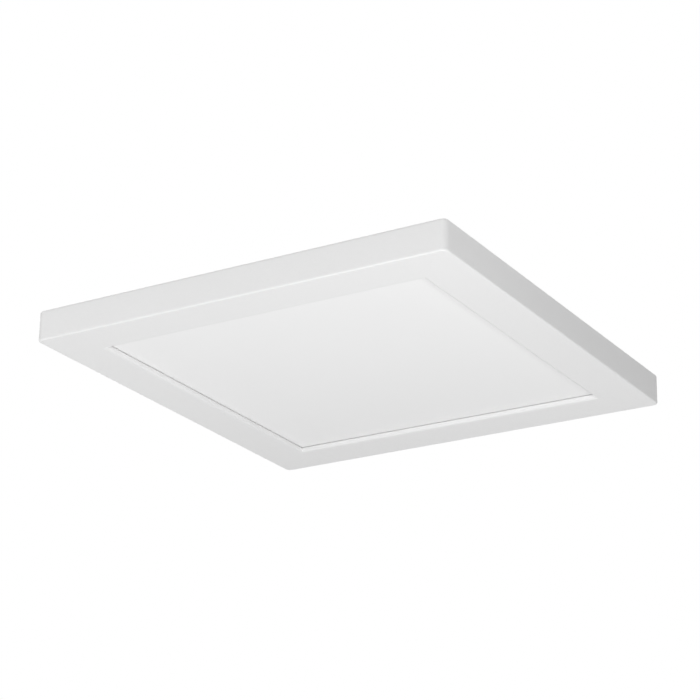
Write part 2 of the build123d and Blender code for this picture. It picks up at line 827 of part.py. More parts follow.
# Spring clamps: a leaf on the floor of each wire entry, turned up at its end wall, with a tail to the board
clamp_width = entry_size - 2 * clamp_clearance
clamp_front_y = terminal_front_y + entry_depth - clamp_length
with BuildPart() as terminal_clamps:
    with BuildSketch(Plane.XY.offset(entry_floor_z)):
        for x in pole_xs:
            with Locations((x, clamp_front_y)):
                Rectangle(
                    clamp_width,
                    board_front_y + clamp_reach - clamp_front_y,
                    align=(Align.CENTER, Align.MIN),
                )
    extrude(amount=clamp_thickness)
    with BuildSketch(Plane.XY.offset(entry_floor_z)):
        for x in pole_xs:
            with Locations((x, terminal_front_y + entry_depth)):
                Rectangle(clamp_width, clamp_thickness, align=(Align.CENTER, Align.MAX))
    extrude(amount=entry_size - clamp_clearance)
terminal_clamps.part.label = "terminal_clamps"
pieces.append(terminal_clamps.part)


# Release buttons, standing proud of the terminal block at rest
def release_button(label, x):
    top_z = terminal_top_z + button_proud
    with BuildPart() as button:
        with BuildSketch(Plane.XY.offset(top_z)):
            with Locations((x, well_y)):
                Rectangle(button_width, button_width)
        extrude(amount=-button_proud - button_grip)
        fillet(button.faces().sort_by(Axis.Z)[-1].edges(), button_edge_radius)
        with BuildSketch(Plane.XY.offset(top_z)):
            with Locations((x, well_y)):
                Rectangle(button_slot_length, button_slot_width)
        extrude(amount=-button_slot_depth, mode=Mode.SUBTRACT)
    button.part.label = label
    pieces.append(button.part)


for label, x in zip(("live_button", "earth_button", "neutral_button"), pole_xs):
    release_button(label, x)

os.makedirs("parts", exist_ok=True)
for piece in pieces:
    export_step(piece, f"parts/{piece.label}.step")
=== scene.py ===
from math import pi, radians

import bmesh
import bpy
from mathutils import Matrix, Vector


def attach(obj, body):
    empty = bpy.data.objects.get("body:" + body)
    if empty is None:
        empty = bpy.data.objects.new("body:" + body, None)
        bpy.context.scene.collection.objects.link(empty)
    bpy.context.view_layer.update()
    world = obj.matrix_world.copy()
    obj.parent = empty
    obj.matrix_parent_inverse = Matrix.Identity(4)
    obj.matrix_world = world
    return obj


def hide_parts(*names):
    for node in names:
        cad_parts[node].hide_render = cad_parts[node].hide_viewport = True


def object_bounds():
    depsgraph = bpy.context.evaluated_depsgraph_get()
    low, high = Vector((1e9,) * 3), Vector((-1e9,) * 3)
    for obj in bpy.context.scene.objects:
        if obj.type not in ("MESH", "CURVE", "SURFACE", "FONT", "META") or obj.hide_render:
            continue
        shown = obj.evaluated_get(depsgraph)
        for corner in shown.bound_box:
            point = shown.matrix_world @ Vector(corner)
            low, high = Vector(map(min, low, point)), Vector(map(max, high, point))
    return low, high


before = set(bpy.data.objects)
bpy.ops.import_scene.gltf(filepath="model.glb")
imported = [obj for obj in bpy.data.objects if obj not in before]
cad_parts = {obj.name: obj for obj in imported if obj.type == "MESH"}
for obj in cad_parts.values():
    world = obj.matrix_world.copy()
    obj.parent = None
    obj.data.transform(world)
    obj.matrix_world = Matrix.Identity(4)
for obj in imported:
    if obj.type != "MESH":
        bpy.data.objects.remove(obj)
cad_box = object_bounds()

# Millimetres to Blender's metres
MM = 0.001

# Camera, as fitted to the light's edges in the photograph
PICTURE_SIZE = 700.0
FOCAL_LENGTH_PIXELS = 2318.0
SENSOR_WIDTH = 36.0
NEAREST_SEEN = 0.01
VIEW_YAW = radians(-31.50)
VIEW_PITCH = radians(21.307)
VIEW_ROLL = radians(0.945)
# From the camera to the middle of the light's face: right, down and forward, in sides of the light
VIEW_OFFSET = Vector((0.0157, 0.0532, 5.108))

# The floor of the room below the ceiling light, and how far it goes on where only the camera sees it
FLOOR_DROP = 2.4
FLOOR_SIZE = 14.0
FAR_FLOOR_DROP = 2.41
FAR_FLOOR_SIZE = 160.0

# How much the white room lights the object from straight above, the power by which that fades to
# nothing at the horizon, and how bright the room is where it is seen or mirrored
ROOM_LIGHT = 1.27
ROOM_FADE = 2.0
ROOM_WHITE = 1.0

# Pan-head screws with a cross recess, whose four arms run out from a square middle
SCREW_HEAD_HEIGHT = 1.9
SCREW_SHANK = 3.0
RECESS_WIDTH = 0.9
RECESS_ARM = 1.25
RECESS_DEPTH = 1.0

# Blind rivets
RIVET_HEAD_HEIGHT = 1.1
RIVET_SHANK = 3.2

# Names of the sizes that the fasteners' trees take
FASTENER_SIZES = ("Head Diameter", "Head Height", "Shank Diameter", "Shank Length")
RECESS_SIZES = ("Recess Width", "Recess Arm", "Recess Depth")

# Legs of the chips on the driver board
LEGS_PER_SIDE = 4
LEG_PITCH = 1.27
LEG_REACH = 1.2
LEG_WIDTH = 0.42
LEG_THICKNESS = 0.15

# Solder on the tails of the spring clamps
SOLDER_WIDTH = 2.6
SOLDER_HEIGHT = 0.5

# Bent wires of the capacitors, with the solder where they meet the board
WIRE_RADIUS = 0.25
WIRE_SPACING = 2.0
WIRE_REACH = 1.8
WIRE_SOLDER_WIDTH = 1.5

# Winding of the drum choke
COIL_TURNS = 8.0
COIL_WIRE_RADIUS = 0.19

# Edges sharper than this stay sharp on turned and moulded small parts
SHARP_EDGE = radians(38)

# Corners of a CAD piece's triangles that are nearer than this, in metres, are the same corner
SAME_CORNER = 1e-7

# How far a face's normal may be from the one that is asked for
FACING_TOLERANCE = 0.1

# Turns a flat pattern so that its rows run along the upright LED boards
ALONG_STRIP = (-pi / 2, -pi / 2, 0.0)

# Distance between the bands of a wave texture at scale 1
WAVE_BAND = pi / 10

# Most of a noise texture lies between these
NOISE_LOW = 0.3
NOISE_HIGH = 0.7

# Sockets of a Mix node, whose names repeat: those of two colours, and those of two numbers
FACTOR, FIRST, SECOND, MIXED = 0, 6, 7, 2
FIRST_NUMBER, SECOND_NUMBER = 2, 3


def linear(code):
    """An sRGB hex colour as linear red, green, blue and alpha."""
    channels = [int(code[i : i + 2], 16) / 255 for i in (1, 3, 5)]
    return tuple(c / 12.92 if c <= 0.04045 else ((c + 0.055) / 1.055) ** 2.4 for c in channels) + (1.0,)


def across(size):
    """Texture scale on Object coordinates, in metres, for features of this size in millimetres."""
    return 1.0 / (size * MM)


def add(tree, kind, sockets=None, **settings):
    """Adds a node with its settings, and sets or links its inputs; a list makes several links."""
    made = tree.nodes.new(kind)
    for name, value in settings.items():
        setattr(made, name, value)
    for socket, given in (sockets or {}).items():
        for value in given if isinstance(given, list) else [given]:
            if isinstance(value, bpy.types.NodeSocket):
                tree.links.new(value, made.inputs[socket])
            else:
                made.inputs[socket].default_value = value
    return made


def begin(name):
    """A new material with an empty tree, and its Object coordinates."""
    material = bpy.data.materials.new(name)
    material.use_nodes = True
    tree = material.node_tree
    tree.nodes.clear()
    place = add(tree, "ShaderNodeTexCoord").outputs["Object"]
    return material, tree, place


def finish(tree, tone, gloss, relief, strength, depth, **constants):
    """Ends a material: colour, roughness and a height in millimetres go to one shader."""
    bump = add(tree, "ShaderNodeBump", {"Height": relief, "Strength": strength, "Distance": depth * MM})
    shader = add(
        tree,
        "ShaderNodeBsdfPrincipled",
        {"Base Color": tone, "Roughness": gloss, "Normal": bump.outputs[0]},
    )
    for socket, value in constants.items():
        shader.inputs[socket.replace("_", " ")].default_value = value
    add(tree, "ShaderNodeOutputMaterial", {"Surface": shader.outputs[0]})
    return shader


def clouded(tree, place, size, dark, pale):
    """Two close shades that drift into each other in clouds of this size in millimetres."""
    cloud = add(tree, "ShaderNodeTexNoise", {"Vector": place, "Scale": across(size), "Detail": 3.0})
    return add(
        tree,
        "ShaderNodeMix",
        {FACTOR: cloud.outputs[0], FIRST: linear(dark), SECOND: linear(pale)},
        data_type="RGBA",
    ).outputs[MIXED]


def grained(tree, place, size, smooth, rough):
    """A fine grain of this size in millimetres, as a height and as a range of roughness."""
    grain = add(tree, "ShaderNodeTexNoise", {"Vector": place, "Scale": across(size), "Detail": 2.0})
    gloss = add(
        tree,
        "ShaderNodeMapRange",
        {
            "Value": grain.outputs[0],
            "From Min": NOISE_LOW,
            "From Max": NOISE_HIGH,
            "To Min": smooth,
            "To Max": rough,
        },
    )
    return grain.outputs[0], gloss.outputs[0]


def powder_coat():
    """Polyester powder, baked on die-cast aluminium: satin white with a faint orange peel."""
    material, tree, place = begin("white_powder_coat")
    tone = clouded(tree, place, size=70.0, dark="#EAEAEA", pale="#ECECEC")
    relief, gloss = grained(tree, place, size=2.4, smooth=0.40, rough=0.52)
    finish(tree, tone, gloss, relief, strength=0.80, depth=0.10, IOR=1.5)
    return material


def opal_acrylic():
    """Opal acrylic sheet with a frosted face: matt and milky, a shade whiter than the frame."""
    material, tree, place = begin("frosted_opal_acrylic")
    tone = clouded(tree, place, size=90.0, dark="#F1F1F1", pale="#F3F3F3")
    # The frost is drawn coarser than it is, so that it shows
    relief, gloss = grained(tree, place, size=0.9, smooth=0.58, rough=0.66)
    finish(tree, tone, gloss, relief, strength=0.10, depth=0.02, IOR=1.49)
    return material


def dotted_acrylic():
    """Polished clear acrylic with white dots printed on it, which throw the light out of the sheet."""
    material, tree, place = begin("dotted_clear_acrylic")
    dot_pitch = 2.4
    cells = add(
        tree,
        "ShaderNodeTexVoronoi",
        {"Vector": place, "Scale": across(dot_pitch), "Randomness": 0.0},
    )
    # A dot is about half as wide as their pitch, with a soft edge
    dot = add(
        tree,
        "ShaderNodeMapRange",
        {
            "Value": cells.outputs["Distance"],
            "From Min": 0.24,
            "From Max": 0.28,
            "To Min": 1.0,
            "To Max": 0.0,
        },
    ).outputs[0]
    tone = add(
        tree,
        "ShaderNodeMix",
        {FACTOR: dot, FIRST: linear("#F2F7F8"), SECOND: linear("#F4F4F2")},
        data_type="RGBA",
    ).outputs[MIXED]
    gloss = add(tree, "ShaderNodeMapRange", {"Value": dot, "To Min": 0.04, "To Max": 0.7}).outputs[0]
    clear = add(tree, "ShaderNodeMapRange", {"Value": dot, "To Min": 0.95, "To Max": 0.0}).outputs[0]
    shader = finish(tree, tone, gloss, dot, strength=0.2, depth=0.02, IOR=1.49)
    tree.links.new(clear, shader.inputs["Transmission Weight"])
    return material


def reflector_film():
    """Microcellular white polyester film: very white and quite matt."""
    material, tree, place = begin("white_reflector_film")
    tone = clouded(tree, place, size=30.0, dark="#F3F3F3", pale="#F6F6F6")
    # The cells are drawn coarser than they are, so that they show
    relief, gloss = grained(tree, place, size=0.5, smooth=0.68, rough=0.78)
    finish(tree, tone, gloss, relief, strength=0.06, depth=0.02, IOR=1.5)
    return material


def cut_foam(name, pore, dark, pale):
    """Foam sheet cut from a block: open pores with soft pale walls between them, the pores' insides
    darkened with painted shade.
    """
    material, tree, place = begin(name)
    cells = add(tree, "ShaderNodeTexVoronoi", {"Vector": place, "Scale": across(pore)})
    # The dark colour at each pore's middle is painted shade in the hollow; the pale colour is the walls
    # between
    tone = add(
        tree,
        "ShaderNodeMix",
        {FACTOR: cells.outputs["Distance"], FIRST: linear(dark), SECOND: linear(pale)},
        data_type="RGBA",
    ).outputs[MIXED]
    gloss = grained(tree, place, pore, smooth=0.86, rough=0.95)[1]
    finish(tree, tone, gloss, cells.outputs["Distance"], strength=0.5, depth=0.2, IOR=1.45)
    return material


def coil_coated_steel():
    """Coil-coated sheet steel: smooth white paint, with faint streaks along the rolling direction."""
    material, tree, place = begin("coil_coated_steel")
    rolled = add(tree, "ShaderNodeMapping", {"Vector": place, "Scale": (0.03, 1.0, 1.0)}).outputs[0]
    tone = clouded(tree, rolled, size=6.0, dark="#D9DAD9", pale="#DEDFDE")
    relief, gloss = grained(tree, place, size=1.1, smooth=0.34, rough=0.44)
    finish(tree, tone, gloss, relief, strength=0.10, depth=0.02, IOR=1.5)
    return material


def galvanised_sheet():
    """Hot-dip galvanised steel: zinc crystals, each feathered in a direction of its own."""
    material, tree, place = begin("galvanised_sheet")
    crystal_width = 6.0
    crystal_bend = 3.0
    feather_width = 0.9
    drift = add(
        tree, "ShaderNodeTexNoise", {"Vector": place, "Scale": across(crystal_bend), "Detail": 2.0}
    )
    bent = add(
        tree,
        "ShaderNodeMix",
        {FACTOR: crystal_bend * MM, FIRST: place, SECOND: drift.outputs["Color"]},
        data_type="RGBA",
    ).outputs[MIXED]
    crystal = add(tree, "ShaderNodeTexVoronoi", {"Vector": bent, "Scale": across(crystal_width)})
    shade = add(tree, "ShaderNodeSeparateColor", {0: crystal.outputs["Color"]})
    heading = add(
        tree, "ShaderNodeMapRange", {"Value": shade.outputs[0], "To Min": 0.0, "To Max": 2 * pi}
    ).outputs[0]
    turned = add(tree, "ShaderNodeVectorRotate", {"Vector": place, "Angle": heading}).outputs[0]
    drawn = add(tree, "ShaderNodeMapping", {"Vector": turned, "Scale": (0.12, 1.0, 1.0)}).outputs[0]
    feather = add(
        tree, "ShaderNodeTexNoise", {"Vector": drawn, "Scale": across(feather_width), "Detail": 3.0}
    )
    leaf = add(
        tree,
        "ShaderNodeMix",
        {FACTOR: 0.6, FIRST_NUMBER: shade.outputs[1], SECOND_NUMBER: feather.outputs[0]},
        data_type="FLOAT",
    ).outputs[0]
    tone = add(
        tree,
        "ShaderNodeMix",
        {FACTOR: leaf, FIRST: linear("#A2A6A9"), SECOND: linear("#C9CCCE")},
        data_type="RGBA",
    ).outputs[MIXED]
    gloss = add(tree, "ShaderNodeMapRange", {"Value": leaf, "To Min": 0.28, "To Max": 0.46}).outputs[0]
    finish(tree, tone, gloss, feather.outputs[0], strength=0.10, depth=0.02, Metallic=1.0)
    return material


def bright_zinc():
    """Zinc-plated steel, clear passivated: bright, with blue and straw tints and fine tool marks."""
    material, tree, place = begin("bright_zinc_plate")
    tone = clouded(tree, place, size=3.0, dark="#BEC4CB", pale="#CFCDC3")
    relief, gloss = grained(tree, place, size=0.4, smooth=0.22, rough=0.36)
    finish(tree, tone, gloss, relief, strength=0.10, depth=0.02, Metallic=1.0)
    return material


def green_lacquer():
    """Green lacquer on a steel screw: a thin glossy coat, a little darker where it ran."""
    material, tree, place = begin("green_lacquered_steel")
    tone = clouded(tree, place, size=2.0, dark="#175C2E", pale="#23753C")
    relief, gloss = grained(tree, place, size=0.6, smooth=0.24, rough=0.34)
    finish(tree, tone, gloss, relief, strength=0.10, depth=0.02, IOR=1.52, Coat_Weight=0.4)
    return material


def etched_laminate(name, mask, copper, pitch, track, turn=(0.0, 0.0, 0.0)):
    """Solder mask over etched copper: tracks run side by side as raised lines of a paler shade."""
    material, tree, place = begin(name)
    board = add(tree, "ShaderNodeMapping", {"Vector": place, "Rotation": turn}).outputs[0]
    # The tracks are the thin mortar round long bricks, laid in rows
    tracks = add(
        tree,
        "ShaderNodeTexBrick",
        {
            "Vector": board,
            "Scale": across(pitch),
            "Brick Width": 5.0,
            "Row Height": 1.0,
            "Mortar Size": track / pitch / 2,
            "Mortar Smooth": 0.1,
        },
        offset=0.37,
    )
    tone = add(
        tree,
        "ShaderNodeMix",
        {
            FACTOR: tracks.outputs["Fac"],
            FIRST: clouded(tree, place, size=12.0, dark=mask, pale=copper),
            SECOND: linear(copper),
        },
        data_type="RGBA",
    ).outputs[MIXED]
    gloss = grained(tree, place, size=0.8, smooth=0.30, rough=0.42)[1]
    finish(tree, tone, gloss, tracks.outputs["Fac"], strength=0.25, depth=0.05, IOR=1.55)
    return material


def phosphor_gel():
    """Silicone filled with yellow phosphor: opaque lemon yellow with a wet, slightly grainy face."""
    material, tree, place = begin("phosphor_gel")
    tone = clouded(tree, place, size=0.5, dark="#DDB52E", pale="#EAC84A")
    # The grains are drawn coarser than they are, so that they show
    relief, gloss = grained(tree, place, size=0.25, smooth=0.22, rough=0.34)
    finish(tree, tone, gloss, relief, strength=0.15, depth=0.02, IOR=1.42)
    return material


def woven_tape():
    """Thermal tape on glass cloth: dull blue grey, with the weave showing through as a fine relief."""
    material, tree, place = begin("woven_thermal_tape")
    thread = 0.7
    tone = clouded(tree, place, size=8.0, dark="#B2B8C2", pale="#BEC4CC")
    warp, weft = (
        add(
            tree,
            "ShaderNodeTexWave",
            {"Vector": place, "Scale": across(thread) * WAVE_BAND},
            bands_direction=direction,
        ).outputs["Fac"]
        for direction in ("Y", "Z")
    )
    weave = add(tree, "ShaderNodeMath", {0: warp, 1: weft}, operation="MULTIPLY").outputs[0]
    gloss = grained(tree, place, thread, smooth=0.62, rough=0.74)[1]
    finish(tree, tone, gloss, weave, strength=0.3, depth=0.03, IOR=1.45)
    return material


def moulded(name, dark, pale, smooth, rough, texture):
    """A moulded or pressed piece of one colour, with the even fine texture that its mould gives it."""
    material, tree, place = begin(name)
    tone = clouded(tree, place, size=25.0, dark=dark, pale=pale)
    # The texture is drawn coarser than it is, so that it shows
    relief, gloss = grained(tree, place, texture, smooth, rough)
    finish(tree, tone, gloss, relief, strength=0.12, depth=0.015, IOR=1.5)
    return material


def wound_tape():
    """Yellow polyester tape round a winding: glossy, with the edge of each turn showing as a line."""
    material, tree, place = begin("yellow_winding_tape")
    turn_height = 2.0
    turns = add(
        tree,
        "ShaderNodeTexWave",
        {"Vector": place, "Scale": across(turn_height) * WAVE_BAND, "Distortion": 0.6},
        bands_direction="Z",
        wave_profile="SAW",
    )
    tone = add(
        tree,
        "ShaderNodeMix",
        {FACTOR: turns.outputs["Fac"], FIRST: linear("#C99B1F"), SECOND: linear("#DDB338")},
        data_type="RGBA",
    ).outputs[MIXED]
    gloss = grained(tree, place, size=0.8, smooth=0.20, rough=0.30)[1]
    finish(tree, tone, gloss, turns.outputs["Fac"], strength=0.3, depth=0.06, IOR=1.57)
    return material


def enamelled_copper():
    """Copper wire under clear enamel: reddish brown metal with a glossy coat."""
    material, tree, place = begin("enamelled_copper_wire")
    tone = clouded(tree, place, size=1.5, dark="#A65A33", pale="#BC6E42")
    relief, gloss = grained(tree, place, size=0.3, smooth=0.26, rough=0.38)
    finish(tree, tone, gloss, relief, strength=0.10, depth=0.01, Metallic=1.0, Coat_Weight=0.6)
    return material


def drawn_aluminium():
    """Deep-drawn aluminium can: pale soft grey metal, slightly matt from the press."""
    material, tree, place = begin("drawn_aluminium_can")
    tone = clouded(tree, place, size=2.0, dark="#C6C8CA", pale="#D4D6D7")
    relief, gloss = grained(tree, place, size=0.3, smooth=0.34, rough=0.46)
    finish(tree, tone, gloss, relief, strength=0.10, depth=0.01, Metallic=1.0)
    return material


def rolled_brass():
    """Cold-rolled spring brass: warm yellow metal with fine lines along the strip."""
    material, tree, place = begin("rolled_spring_brass")
    rolled = add(tree, "ShaderNodeMapping", {"Vector": place, "Scale": (1.0, 0.05, 1.0)}).outputs[0]
    tone = clouded(tree, rolled, size=0.6, dark="#BF9845", pale="#D3AF60")
    relief, gloss = grained(tree, rolled, size=0.3, smooth=0.22, rough=0.36)
    finish(tree, tone, gloss, relief, strength=0.15, depth=0.02, Metallic=1.0)
    return material


def wear(material, *nodes):
    """Gives CAD pieces their finish."""
    for node in nodes:
        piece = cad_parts[node]
        piece.data.materials.clear()
        piece.data.materials.append(material)


zinc = bright_zinc()
wear(powder_coat(), "frame")
wear(opal_acrylic(), "diffuser")
wear(dotted_acrylic(), "light_guide")
wear(reflector_film(), "reflector_sheet")
# The dark shade given to each foam is painted shade inside its pores; the pale one is the foam's own
# colour
wear(cut_foam("grey_backing_foam", pore=0.9, dark="#4E4E51", pale="#85858A"), "backing_foam")
wear(cut_foam("white_gasket_foam", pore=0.4, dark="#AFAFAE", pale="#DCDCDA"), "diffuser_gasket")
wear(coil_coated_steel(), "back_plate")
wear(galvanised_sheet(), "mounting_plate", "left_hanger_rail", "right_hanger_rail")
wear(zinc, "hanger_studs", "back_plate_screws", "driver_screws", "hanger_rivets")
wear(green_lacquer(), "earth_screw")
wear(woven_tape(), "left_thermal_tape", "right_thermal_tape")
wear(wound_tape(), "transformer_winding")
wear(rolled_brass(), "terminal_clamps")

# White mask that throws the LEDs' light back
white_laminate = etched_laminate(
    "white_strip_laminate", mask="#E0E0DC", copper="#EFEFEC", pitch=2.2, track=0.8, turn=ALONG_STRIP
)
wear(white_laminate, "left_led_board", "right_led_board")
# Green mask, under which the copper shows as paler tracks
green_laminate = etched_laminate(
    "green_circuit_board", mask="#164F2D", copper="#2B7D48", pitch=2.5, track=0.7
)
wear(green_laminate, "driver_board")

# Filled nylon, moulded: bright white and satin
led_cup = moulded("white_led_cup", "#E9E9E6", "#EFEFEC", smooth=0.30, rough=0.40, texture=0.3)
wear(led_cup, "left_leds", "right_leds")
# Ferrite, pressed and sintered: dark grey and dull
ferrite = moulded("dull_ferrite", "#2B2C2F", "#3A3B3F", smooth=0.62, rough=0.76, texture=0.4)
wear(ferrite, "transformer_core", "driver_choke")
# PVC film, shrunk on with heat: blue black and glossy, with faint ripples
shrunk_sleeve = moulded(
    "shrunk_capacitor_sleeve", "#161A26", "#1F2433", smooth=0.24, rough=0.34, texture=1.2
)
wear(shrunk_sleeve, "driver_capacitors")
# Silicone rubber, pressed: milky grey and dull
silicone = moulded("milky_silicone_rubber", "#BDBDBB", "#C8C8C6", smooth=0.50, rough=0.62, texture=0.8)
wear(silicone, "guide_bumpers")
# Nylon, moulded: off-white and satin
nylon = moulded("white_nylon", "#D8D7D2", "#DEDDD8", smooth=0.42, rough=0.52, texture=0.6)
wear(nylon, "lead_bushing")
# ABS, moulded: warm white and satin, with a finely eroded face
driver_plastic = moulded(
    "white_driver_plastic", "#D3D3CF", "#DADAD6", smooth=0.44, rough=0.56, texture=0.5
)
wear(driver_plastic, "driver_case", "driver_lid")
# Filled epoxy, moulded round a chip: black and dull
chip_epoxy = moulded("black_chip_epoxy", "#1B1B1C", "#262627", smooth=0.55, rough=0.68, texture=0.3)
wear(chip_epoxy, "driver_chips")
# Polycarbonate, moulded: pale grey and fairly glossy
polycarbonate = moulded(
    "grey_polycarbonate", "#CFCFCE", "#D6D6D5", smooth=0.34, rough=0.44, texture=0.5
)
wear(polycarbonate, "terminal_block")
# PVC, extruded on the wire: white and fairly glossy
lead_sleeve = moulded("white_lead_sleeve", "#DADAD8", "#E2E2E0", smooth=0.30, rough=0.42, texture=0.5)
wear(lead_sleeve, "left_lead", "right_lead")
# Acetal, moulded: coloured all through, and smooth so that it slides in its well
for colour, dark, pale, button in (
    ("brown", "#5A3018", "#653820", "live_button"),
    ("green", "#2F8A3F", "#3A9A4A", "earth_button"),
    ("blue", "#2C62AD", "#366DB8", "neutral_button"),
):
    wear(moulded(f"{colour}_button_plastic", dark, pale, smooth=0.28, rough=0.38, texture=0.5), button)


def solids(node):
    """The lowest and highest corner of each separate solid in a CAD piece."""
    shape = bmesh.new()
    shape.from_mesh(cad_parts[node].data)
    bmesh.ops.remove_doubles(shape, verts=shape.verts, dist=SAME_CORNER)
    boxes = []
    waiting = set(shape.verts)
    while waiting:
        edge_of_search = [waiting.pop()]
        found = list(edge_of_search)
        while edge_of_search:
            vertex = edge_of_search.pop()
            for edge in vertex.link_edges:
                other = edge.other_vert(vertex)
                if other in waiting:
                    waiting.remove(other)
                    edge_of_search.append(other)
                    found.append(other)
        low, high = (Vector([pick(v.co[i] for v in found) for i in range(3)]) for pick in (min, max))
        boxes.append((low, high))
    shape.free()
    return sorted(boxes, key=lambda box: tuple(box[0]))


def middle(box):
    """The middle of a box that is given by its lowest and highest corner."""
    return (box[0] + box[1]) / 2


def plant(name, sizes):
    """A new geometry tree that takes spots and named sizes; gives the tree and its inputs by name."""
    tree = bpy.data.node_groups.new(name, "GeometryNodeTree")
    tree.interface.new_socket("Spots", in_out="INPUT", socket_type="NodeSocketGeometry")
    for size in sizes:
        tree.interface.new_socket(size, in_out="INPUT", socket_type="NodeSocketFloat")
    tree.interface.new_socket("Pieces", in_out="OUTPUT", socket_type="NodeSocketGeometry")
    return tree, add(tree, "NodeGroupInput").outputs


def sized(tree, shape, x, y, z, rise=0.0):
    """Brings a shape of unit size to its real sizes, which come from a tree, and raises it."""
    scale = add(tree, "ShaderNodeCombineXYZ", {"X": x, "Y": y, "Z": z}).outputs[0]
    shift = add(tree, "ShaderNodeCombineXYZ", {"Z": rise}).outputs[0]
    return add(
        tree, "GeometryNodeTransform", {"Geometry": shape, "Translation": shift, "Scale": scale}
    ).outputs[0]


def faces(tree, direction, share):
    """Selects the faces whose normal has this share along a direction: 1 along it, 0 across it."""
    normal = add(tree, "GeometryNodeInputNormal").outputs[0]
    along = add(
        tree, "ShaderNodeVectorMath", {0: normal, 1: direction}, operation="DOT_PRODUCT"
    ).outputs["Value"]
    return add(
        tree,
        "FunctionNodeCompare",
        {"A": along, "B": share, "Epsilon": FACING_TOLERANCE},
        operation="EQUAL",
    ).outputs[0]


def stepped(tree, shape, end, steps):
    """Carries an end face on in steps, each a rise along the face's normal and a scale of the face."""
    for rise, scale in steps:
        step = add(
            tree, "GeometryNodeExtrudeMesh", {"Mesh": shape, "Selection": end, "Offset Scale": rise}
        )
        end = step.outputs["Top"]
        shape = add(
            tree,
            "GeometryNodeScaleElements",
            {"Geometry": step.outputs["Mesh"], "Selection": end, "Scale": scale},
        ).outputs[0]
    return shape


def turned_head(tree, sides, crown, pit=()):
    """A round head of unit size, standing on zero: a wall, a crown to its full height, and a pit."""
    wall = 1.0 - sum(rise for rise, scale in crown)
    body = add(tree, "GeometryNodeMeshCylinder", {"Vertices": sides, "Radius": 0.5, "Depth": wall})
    standing = add(
        tree,
        "GeometryNodeTransform",
        {"Geometry": body.outputs["Mesh"], "Translation": (0.0, 0.0, wall / 2)},
    ).outputs[0]
    return stepped(tree, standing, body.outputs["Top"], [*crown, *pit])


def bent_strand(tree, given, section, first_handle, last_handle, steps):
    """A strand of this section, which leaves a part's side level and bends down to the board."""
    bend = add(
        tree,
        "GeometryNodeCurvePrimitiveBezierSegment",
        {
            "Start": (0.0, 0.0, 1.0),
            "Start Handle": first_handle,
            "End Handle": last_handle,
            "End": (1.0, 0.0, 0.0),
            "Resolution": steps,
        },
    ).outputs[0]
    path = sized(tree, bend, given["Reach"], 1.0, given["Drop"])
    return add(
        tree, "GeometryNodeCurveToMesh", {"Curve": path, "Profile Curve": section, "Fill Caps": True}
    ).outputs[0]


def hand_out(tree, given, *shapes):
    """Ends a tree: sets each shape on every spot, as real geometry in its material."""
    turn = {"Z": given["Facing"]} if "Facing" in given else {}
    rotation = add(tree, "ShaderNodeCombineXYZ", turn).outputs[0]
    dressed = []
    for shape, material in shapes:
        copies = add(
            tree,
            "GeometryNodeInstanceOnPoints",
            {"Points": given["Spots"], "Instance": shape, "Rotation": rotation},
        )
        real = add(tree, "GeometryNodeRealizeInstances", {0: copies.outputs[0]})
        smooth = add(tree, "GeometryNodeSetShadeSmooth", {0: real.outputs[0]})
        coated = add(tree, "GeometryNodeSetMaterial", {0: smooth.outputs[0], "Material": material})
        dressed.append(coated.outputs[0])
    together = add(tree, "GeometryNodeJoinGeometry", {0: dressed}).outputs[0]
    add(tree, "NodeGroupOutput", {0: together})


def fastener(tree, given, head):
    """Hangs a plain shank below a head, and sets one on each spot."""
    body = add(tree, "GeometryNodeMeshCylinder", {"Vertices": 24, "Radius": 0.5, "Depth": 1.0})
    hanging = add(
        tree,
        "GeometryNodeTransform",
        {"Geometry": body.outputs["Mesh"], "Translation": (0.0, 0.0, -0.5)},
    ).outputs[0]
    width, length = given["Shank Diameter"], given["Shank Length"]
    shank = sized(tree, hanging, width, width, length)
    whole = add(tree, "GeometryNodeJoinGeometry", {0: [head, shank]}).outputs[0]
    hand_out(tree, given, (whole, zinc))


def pan_screw_tree():
    """Pan-head screws with a cross recess, standing on their spots under the head."""
    tree, given = plant("pan_head_screw", FASTENER_SIZES + RECESS_SIZES)
    crown = [(0.22, 0.97), (0.18, 0.91), (0.12, 0.83), (0.06, 0.7)]
    width, height = given["Head Diameter"], given["Head Height"]
    head = sized(tree, turned_head(tree, 40, crown), width, width, height)
    # The cutter is twice as tall as the recess is deep, because half of it stands out of the head
    block = add(tree, "GeometryNodeMeshCube", {"Size": (1.0, 1.0, 2.0)}).outputs[0]
    gap, arm, depth = (given[size] for size in RECESS_SIZES)
    post = sized(tree, block, gap, gap, depth, height)
    sides = faces(tree, (0.0, 0.0, 1.0), 0.0)
    cross = add(
        tree, "GeometryNodeExtrudeMesh", {"Mesh": post, "Selection": sides, "Offset Scale": arm}
    ).outputs["Mesh"]
    cut = add(
        tree,
        "GeometryNodeMeshBoolean",
        {"Mesh 1": head, "Mesh 2": cross},
        operation="DIFFERENCE",
        solver="MANIFOLD",
    ).outputs["Mesh"]
    fastener(tree, given, cut)
    return tree


def blind_rivet_tree():
    """Blind rivets: a low domed flange, with the broken mandrel deep in the pit at its middle."""
    tree, given = plant("blind_rivet", FASTENER_SIZES)
    crown = [(0.3, 0.93), (0.25, 0.84), (0.15, 0.7), (0.05, 0.56)]
    pit = [(0.0, 0.88), (-0.5, 0.96), (0.0, 0.72), (0.2, 0.8)]
    width, height = given["Head Diameter"], given["Head Height"]
    fastener(tree, given, sized(tree, turned_head(tree, 32, crown, pit), width, width, height))
    return tree


